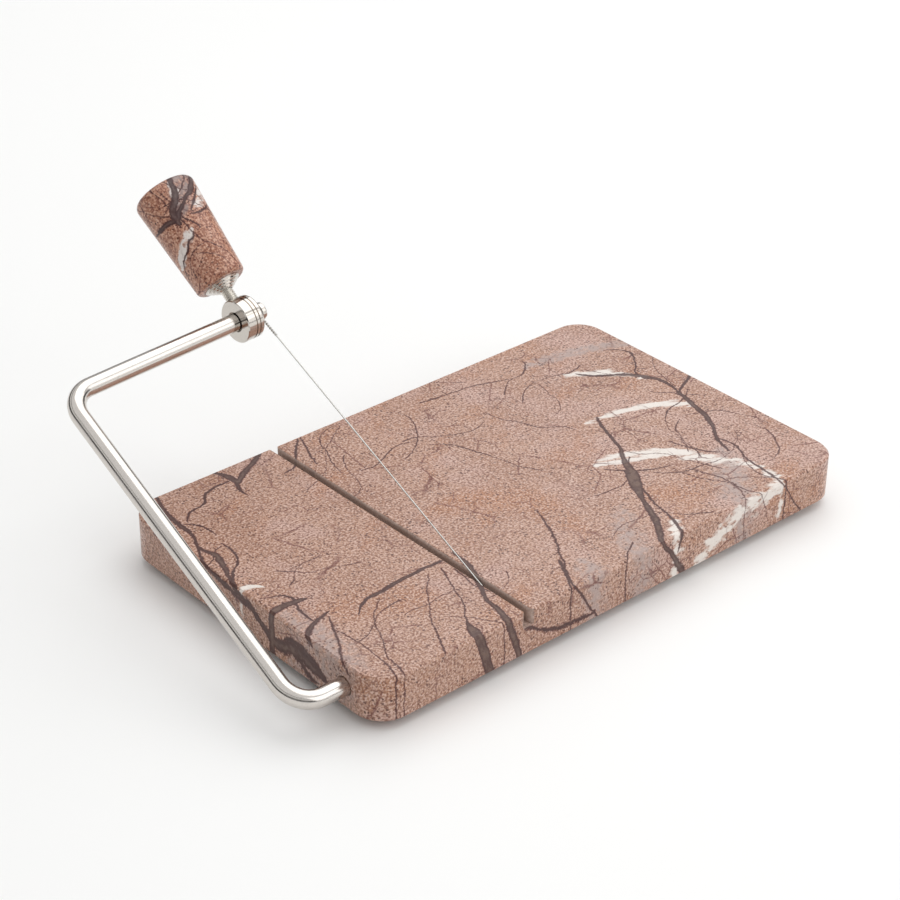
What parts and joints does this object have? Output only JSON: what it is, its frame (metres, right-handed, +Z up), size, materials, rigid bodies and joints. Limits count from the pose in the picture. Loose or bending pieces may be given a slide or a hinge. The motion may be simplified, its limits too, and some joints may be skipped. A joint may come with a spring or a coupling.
{
  "type": "cheese wire cutter",
  "caption": "Tabletop wire cutter: stone board with a slot, and a hinged bent steel arm that holds a taut wire and a tapered stone handle.",
  "frame": {"origin": "middle of the whole object's box at rest, with the arm half raised, on the plane of the feet's undersides; the board's middle is 10.2 mm towards +X and 25.3 mm towards -Y from it", "axes": "+X along the board, away from the side that the arm hinges on; +Y along the slot, from its end beside the pivot to the back; +Z up"},
  "size_m": [0.2236, 0.1776, 0.1073],
  "materials": {
    "board_stone": "polished brown marble with fine dark speckle, thin dark red-brown veins and white veins",
    "handle_stone": "polished, darker brown marble with dark veins and a white patch",
    "rod_steel": "satin stainless steel rod",
    "turned_steel": "polished turned steel",
    "thread_steel": "zinc-plated threaded steel",
    "wire_steel": "drawn stainless wire",
    "foot_rubber": "matte soft rubber"
  },
  "bodies": {
    "board": {"marble_board": "board_stone", "rubber_foot_front_left": "foot_rubber", "rubber_foot_front_right": "foot_rubber", "rubber_foot_back_left": "foot_rubber", "rubber_foot_back_right": "foot_rubber"},
    "arm": {"arm_rod": "rod_steel", "cutting_wire": "wire_steel", "wire_anchor": "wire_steel", "wire_screw": "turned_steel", "knuckle": "turned_steel", "handle_stud": "thread_steel", "handle_ferrule": "turned_steel", "marble_handle": "handle_stone"}
  },
  "joints": [
    {"name": "arm_hinge", "type": "hinge", "parent": "board", "child": "arm", "pos_m": [-0.0914, -0.07331, 0.01095], "axis": [1, 0, 0], "range_deg": [-24.4, 100]}
  ]
}
